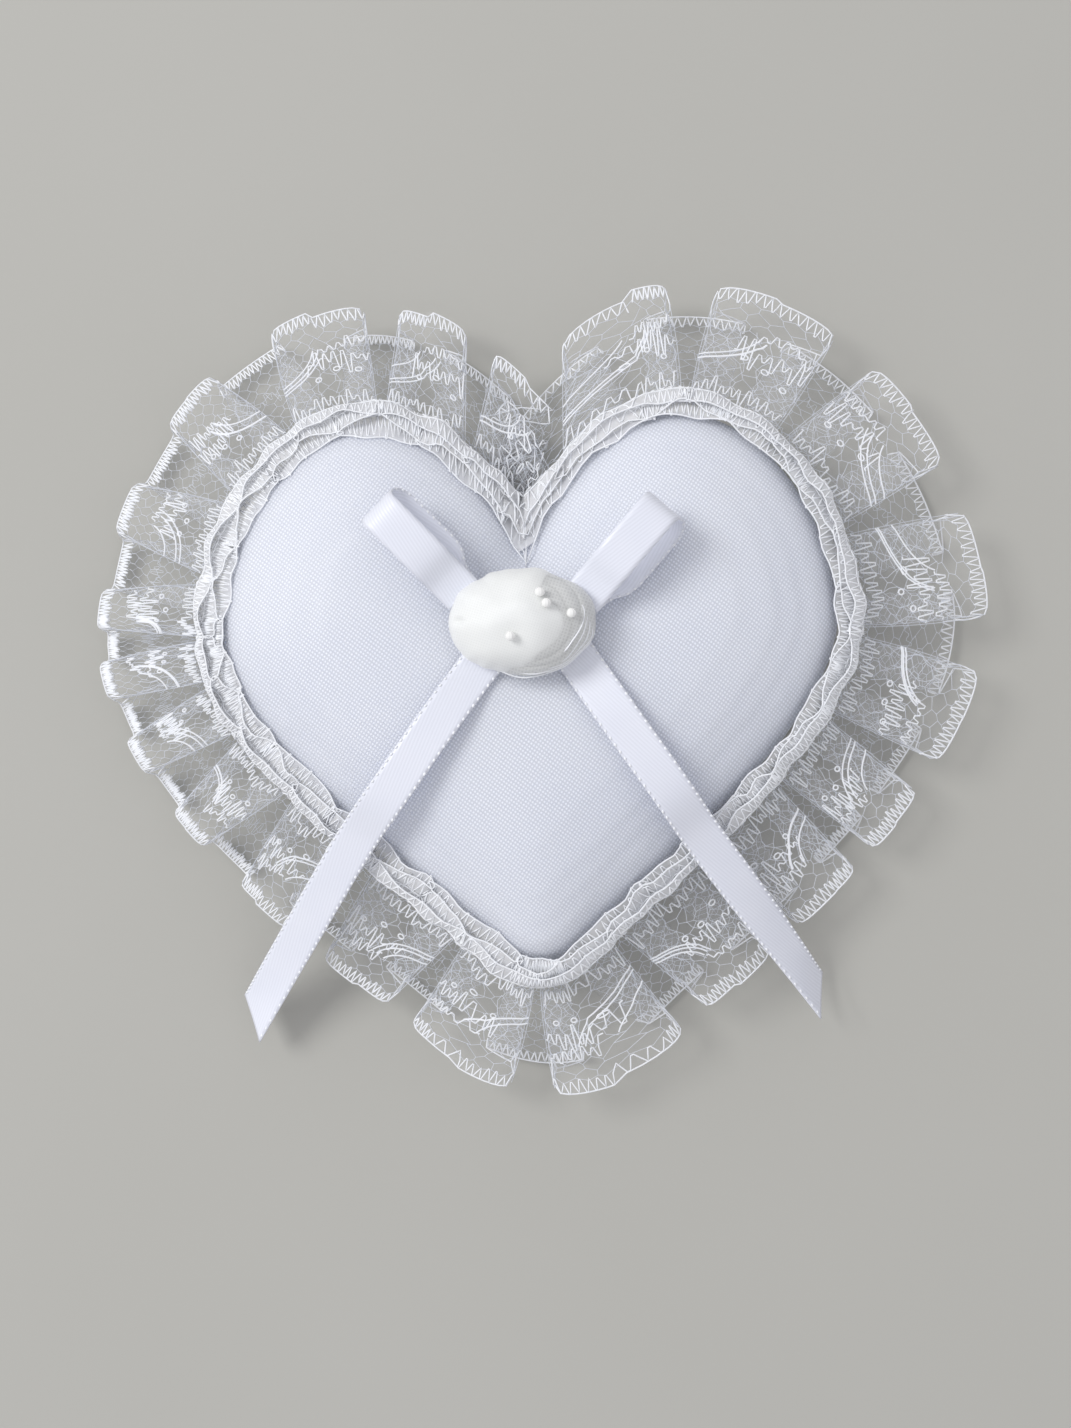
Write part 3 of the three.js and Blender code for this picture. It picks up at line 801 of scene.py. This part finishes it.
def makeLace():
    sheet = makeGround()
    bold, fine = laceThreads["bold"], laceThreads["fine"]
    boldStep, fineStep = laceThreads["boldStep"], laceThreads["fineStep"]
    edges = zigzags(*laceThreads["edgeBorder"]) + zigzags(*laceThreads["topBorder"], True)
    edges += zigzags(*laceThreads["lowerBorder"], True)
    edges += [edgeLine(down) for down in laceThreads["edgeLines"]]
    border = makeThreads("lace_borders", [onLace(line, boldStep) for line in edges], bold, boldYarn)
    figures, faint = motifLines()
    motifs = makeThreads("lace_figures", [onLace(line, boldStep) for line in figures], bold, boldYarn)
    thin = netLines() + foldLines() + faint
    net = makeThreads("lace_net", [onLace(line, fineStep) for line in thin], fine, fineYarn)
    for piece in (sheet, border, motifs, net):
        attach(piece, "pillow")
    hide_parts("lace_heading", "lace_frill")


makeLace()
print("lace made")


# Gathering stitches: short lengths that stand out a little along the heading's foot
stitch = {
    "count": 170, "share": 0.62, "beside": 1.6 * mm, "out": 0.2 * mm, "level": 12.6 * mm,
    "thickness": 0.34 * mm,
}


def makeStitches():
    lines = []
    for i in range(stitch["count"]):
        points = []
        for k in range(5):
            share = (i + stitch["share"] * k / 4) / stitch["count"]
            flat = besideSeam(share, stitch["beside"] + stitch["out"] * math.sin(math.pi * k / 4))[0]
            points.append(Vector((flat.x, flat.y, stitch["level"])))
        lines.append((points, False))
    stitches = makeThreads("gathering_stitches", lines, stitch["thickness"], cotton)
    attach(stitches, "pillow")
    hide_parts("gathering_thread")


makeStitches()
print("stitches made")


# Bow
bow = {
    "level": 26.278 * mm, "width": 6.35 * mm, "thickness": 0.22 * mm,
    "loopLength": 15 * mm, "loopHeight": 6.2 * mm,
    "tailReach": 67 * mm, "headingClear": 21.3 * mm, "endHeight": 5 * mm, "slant": 2.6 * mm, "dish": 0.5 * mm,
    "loopSkew": -2.3 * mm, "leftBend": -2.7 * mm, "leftTilt": 12, "rightBend": -1.6 * mm, "rightTilt": -38,
    "picot": 1.3 * mm, "picotRadius": 0.24 * mm, "picotShape": (1.5, 0.9, 0.75), "picotEdge": 0.47,
}
# Each arm's start and the way it leaves, from its joint
arms = {}
for joint in frame["joints"]:
    axis = joint["axis"]
    arms[joint["child"]] = Vector(joint["pos_m"]), Vector((-axis[1], axis[0], 0)).normalized()


def splinePoint(stations, share):
    at = share * (len(stations) - 1)
    i = min(int(at), len(stations) - 2)
    t = at - i
    p = [Vector(stations[min(max(i + k, 0), len(stations) - 1)]) for k in (-1, 0, 1, 2)]
    return 0.5 * (2 * p[1] + (p[2] - p[0]) * t + (2 * p[0] - 5 * p[1] + 4 * p[2] - p[3]) * t ** 2
                  + (3 * p[1] - p[0] - 3 * p[2] + p[3]) * t ** 3)


# A ribbon follows (distance, height) points out along its arm. It is a little dished across its width.
def makeRibbon(name, arm, stations, steps, form):
    start, way = arms[arm]
    side = Vector((-way.y, way.x, 0))
    path = [splinePoint(stations, i / steps) for i in range(steps + 1)]
    lengths = [0.0]
    for a, b in zip(path, path[1:]):
        lengths.append(lengths[-1] + (b - a).length)

    def placed(i, across, lift=0.0):
        a, b = path[max(i - 1, 0)], path[min(i + 1, steps)]
        tangent = (b - a).normalized()
        toEnd = smooth(0.86, 1.0, i / steps)
        tilt = math.radians(form["tilt"]) * smooth(0.6, 1.0, i / steps)
        reach = path[i].x + form["slant"] * toEnd * across * 2
        height = path[i].y + form["dish"] * (4 * across * across - 0.4) * toEnd
        height += bow["width"] * across * math.sin(tilt)
        face = (way * -tangent.y + Vector((0, 0, tangent.x))) * lift
        aside = bow["width"] * across * math.cos(tilt) + form["bend"] * smooth(0, 0.65, i / steps)
        aside += form["skew"] * smooth(0.03, 0.25, i / steps) * (1 - smooth(0.38, 0.6, i / steps))
        return start.xy.to_3d() + way * reach + side * aside + Vector((0, 0, height)) + face

    bm = bmesh.new()
    cloth = bm.loops.layers.uv.new("cloth")
    bmesh.ops.create_grid(bm, x_segments=steps, y_segments=8, size=0.5)
    for face in bm.faces:
        for loop in face.loops:
            i = round((loop.vert.co.x + 0.5) * steps)
            loop[cloth].uv = (lengths[i], (loop.vert.co.y + 0.5) * bow["width"])
    for v in bm.verts:
        v.co = placed(round((v.co.x + 0.5) * steps), v.co.y)
    bmesh.ops.recalc_face_normals(bm, faces=bm.faces)
    bmesh.ops.solidify(bm, geom=bm.faces[:], thickness=bow["thickness"])
    finishRibbon(makePiece(name, bm, ribbonCloth), name, arm, placed, lengths, steps)


# Selvages: a row of small picot loops on both edges
def finishRibbon(ribbon, name, arm, placed, lengths, steps):
    bm = bmesh.new()
    for edge in (-bow["picotEdge"], bow["picotEdge"]):
        for k in range(int(lengths[-1] / bow["picot"])):
            at = alongTable(lengths, range(steps + 1), (k + 0.5) * bow["picot"])
            low = min(int(at), steps - 1)
            middle = placed(low, edge).lerp(placed(low + 1, edge), at - low)
            ahead = (placed(low + 1, edge * 1.03) - placed(low, edge * 0.97)).to_track_quat("X", "Z")
            shape = Matrix.LocRotScale(middle, ahead, Vector(bow["picotShape"]))
            bmesh.ops.create_icosphere(bm, subdivisions=1, radius=bow["picotRadius"], matrix=shape)
    picots = makePiece(name + "_picots", bm, boldYarn)
    for piece in (ribbon, picots):
        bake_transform(piece)
    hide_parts(arm)


def makeBow():
    level, length, tall = bow["level"], bow["loopLength"], bow["loopHeight"]
    shape = [(-0.22, 0.2), (0.02, 0.14), (0.2, 0.02), (0.55, 0), (0.93, 0.04), (1.07, 0.42), (0.98, 0.92),
             (0.66, 1), (0.3, 0.9), (0.06, 0.5), (-0.2, 0.3)]
    loop = [(x * length, level + y * tall) for x, y in shape]
    form = {"slant": 0, "dish": 0, "tilt": 0, "bend": 0, "skew": bow["loopSkew"]}
    for arm in ("bow_loop_left", "bow_loop_right"):
        makeRibbon("ribbon_" + arm[4:], arm, loop, 72, form)
    for arm, hand, bend, tilt in (("ribbon_tail_left", 1, bow["leftBend"], bow["leftTilt"]),
                                  ("ribbon_tail_right", -1, bow["rightBend"], bow["rightTilt"])):
        start, way = arms[arm]
        inside = 0.0
        while distanceToSeam(*(start + way * inside).xy) > 0.6 * mm:
            inside += 0.5 * mm
        over, high = bow["tailReach"] - inside, bow["headingClear"]
        drop = high - bow["endHeight"]
        tail = [(-3.5 * mm, level + 0.4 * mm), (0, level), (0.3 * inside, level + 1.4 * mm),
                (0.72 * inside, level + 0.2 * mm), (inside, high), (inside + 0.35 * over, high - 0.33 * drop),
                (inside + 0.7 * over, high - 0.7 * drop), (bow["tailReach"], bow["endHeight"])]
        form = {"slant": hand * bow["slant"], "dish": bow["dish"], "tilt": tilt, "bend": bend, "skew": 0}
        makeRibbon(arm + "_cloth", arm, tail, 90, form)


makeBow()
print("bow made")


# Crossing: two lengths of the ribbon laid over each other under the rosette
crossing = {"angle": 52, "lift": 0.2 * mm, "length": 10.5 * mm}


def makeCrossing():
    low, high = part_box("bow_crossing")
    middle = (low + high) / 2
    bm = bmesh.new()
    cloth = bm.loops.layers.uv.new("cloth")
    for hand in (1, -1):
        angle, lift = hand * crossing["angle"], hand * crossing["lift"]
        made = bmesh.ops.create_grid(bm, x_segments=14, y_segments=6, size=0.5)["verts"]
        bmesh.ops.scale(bm, vec=(crossing["length"], bow["width"], 1), verts=made)
        bmesh.ops.rotate(bm, cent=(0, 0, 0), matrix=Matrix.Rotation(math.radians(angle), 3, "Z"), verts=made)
        bmesh.ops.translate(bm, vec=middle + Vector((0, 0, lift)), verts=made)
    for face in bm.faces:
        for loop in face.loops:
            loop[cloth].uv = loop.vert.co.xy
    bmesh.ops.solidify(bm, geom=bm.faces[:], thickness=bow["thickness"])
    piece = makePiece("ribbon_crossing", bm, ribbonCloth)
    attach(piece, "pillow")
    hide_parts("bow_crossing")


makeCrossing()
print("crossing made")


# Rosette: padding under organza, with a folded overlay on its right
rosette = {
    "fullness": 1.17, "coverAngle": 76, "underside": 0.13, "soft": 0.5 * mm,
    "folds": 0.07 * mm, "dimple": (-0.86, 0.02), "dimpleDepth": 0.7 * mm, "dimpleSpread": 0.004,
    "overlayLayers": 3, "overlaySink": -0.25 * mm, "overlayRise": 0.2, "layerRise": 0.22, "crease": 0.12 * mm,
    "overlayThickness": 0.09 * mm,
    "hems": 5, "hemSink": -0.3 * mm, "hemRise": 0.72, "hemThickness": 0.26 * mm,
}
rosetteLow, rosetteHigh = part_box("rosette_cover")
rosetteMiddle = Vector(((rosetteLow.x + rosetteHigh.x) / 2, (rosetteLow.y + rosetteHigh.y) / 2, rosetteLow.z))
rosetteHalf = (rosetteHigh - rosetteLow) / 2


def rosettePoint(azimuth, elevation, out):
    flat = math.cos(elevation)
    full = 2 * rosetteHalf.z / math.sin(math.radians(rosette["coverAngle"]))
    return rosetteMiddle + Vector((
        (rosetteHalf.x + out) * flat * math.cos(azimuth), (rosetteHalf.y + out) * flat * math.sin(azimuth),
        (full * rosette["fullness"] + out) * math.sin(elevation)))


# The padding's own soft lumps, which the layers over it follow
def softPad(azimuth, elevation):
    flat = math.cos(elevation) * 2.2
    return noise.noise(Vector((flat * math.cos(azimuth), flat * math.sin(azimuth), 3))) * rosette["soft"]


def makeRosette():
    bm = bmesh.new()
    bmesh.ops.create_uvsphere(bm, u_segments=144, v_segments=72, radius=1)
    for v in bm.verts:
        azimuth = math.atan2(v.co.y, v.co.x)
        elevation = math.asin(max(-1.0, min(1.0, v.co.z)))
        gathers = 1 - smooth(0.15, 0.75, elevation)
        ripple = math.sin(azimuth * 17 + 2 * math.sin(azimuth * 3)) * rosette["folds"] * gathers
        soft = softPad(azimuth, elevation)
        off = (v.co.xy - Vector(rosette["dimple"])).length_squared
        dimple = rosette["dimpleDepth"] * math.exp(-off / rosette["dimpleSpread"])
        placed = rosettePoint(azimuth, elevation, ripple + soft - dimple)
        if elevation < 0:
            placed.z = rosetteMiddle.z + (placed.z - rosetteMiddle.z) * rosette["underside"]
        v.co = placed
    bmesh.ops.recalc_face_normals(bm, faces=bm.faces)
    padding = makePiece("rosette_padding", bm, organza)
    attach(padding, "pillow")
    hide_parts("rosette_pad", "rosette_cover")


# The overlay: layers of organza that wrap the right half. Their edges sink into the padding, so only soft
# folds show, and rolled hems lie over them.
def makeOverlay():
    bm = bmesh.new()
    for layer in range(rosette["overlayLayers"]):
        made = bmesh.ops.create_grid(bm, x_segments=80, y_segments=30, size=0.5)["verts"]
        for v in made:
            rise = v.co.y + 0.5
            azimuth = math.radians(-8 + 196 * v.co.x - 10 * layer * (1 - rise))
            edge = smooth(0.5, 0.24, abs(v.co.x)) * smooth(1, 0.6, rise)
            elevation = math.radians(4 + (64 - 13 * layer + 6 * math.sin(azimuth * 2 + layer)) * rise)
            crease = math.sin(azimuth * 4 + rise * 5 + layer * 2) * rosette["crease"] * (1 - rise)
            high = (rosette["overlayRise"] + rosette["layerRise"] * layer) * mm
            out = mix(rosette["overlaySink"], high + crease, edge)
            v.co = rosettePoint(azimuth, elevation, out + softPad(azimuth, elevation))
    bmesh.ops.recalc_face_normals(bm, faces=bm.faces)
    bmesh.ops.solidify(bm, geom=bm.faces[:], thickness=rosette["overlayThickness"])
    overlay = makePiece("rosette_folded_overlay", bm, foldedOrganza)
    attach(overlay, "pillow")
    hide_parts("rosette_overlay")
    hem = []
    for layer in range(rosette["hems"]):
        points = []
        for k in range(41):
            azimuth = math.radians(-118 + 14 * layer + (118 - 6 * layer) * k / 40)
            elevation = math.radians(9 + 6.5 * layer + 2.5 * math.sin(azimuth * 5 + layer))
            high = (rosette["hemRise"] - 0.04 * layer) * mm
            out = mix(rosette["hemSink"], high, smooth(0, 0.25, k / 40) * smooth(1, 0.75, k / 40))
            points.append(rosettePoint(azimuth, elevation, out + softPad(azimuth, elevation)))
        hem.append((points, False))
    hems = makeThreads("rosette_hems", hem, rosette["hemThickness"], boldYarn)
    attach(hems, "pillow")


makeRosette()
makeOverlay()
print("rosette made")


# What stays from the frame gets its own finish
for name, material in (("binding_thread", cotton), ("tack_thread", cotton), ("seam_thread", cotton),
                       ("pearl_1", pearl), ("pearl_2", pearl), ("pearl_3", pearl), ("pearl_4", pearl)):
    node = frame["nodes"][name]
    node.data.materials.clear()
    node.data.materials.append(material)
print("threads and pearls finished")

bpy.context.view_layer.update()
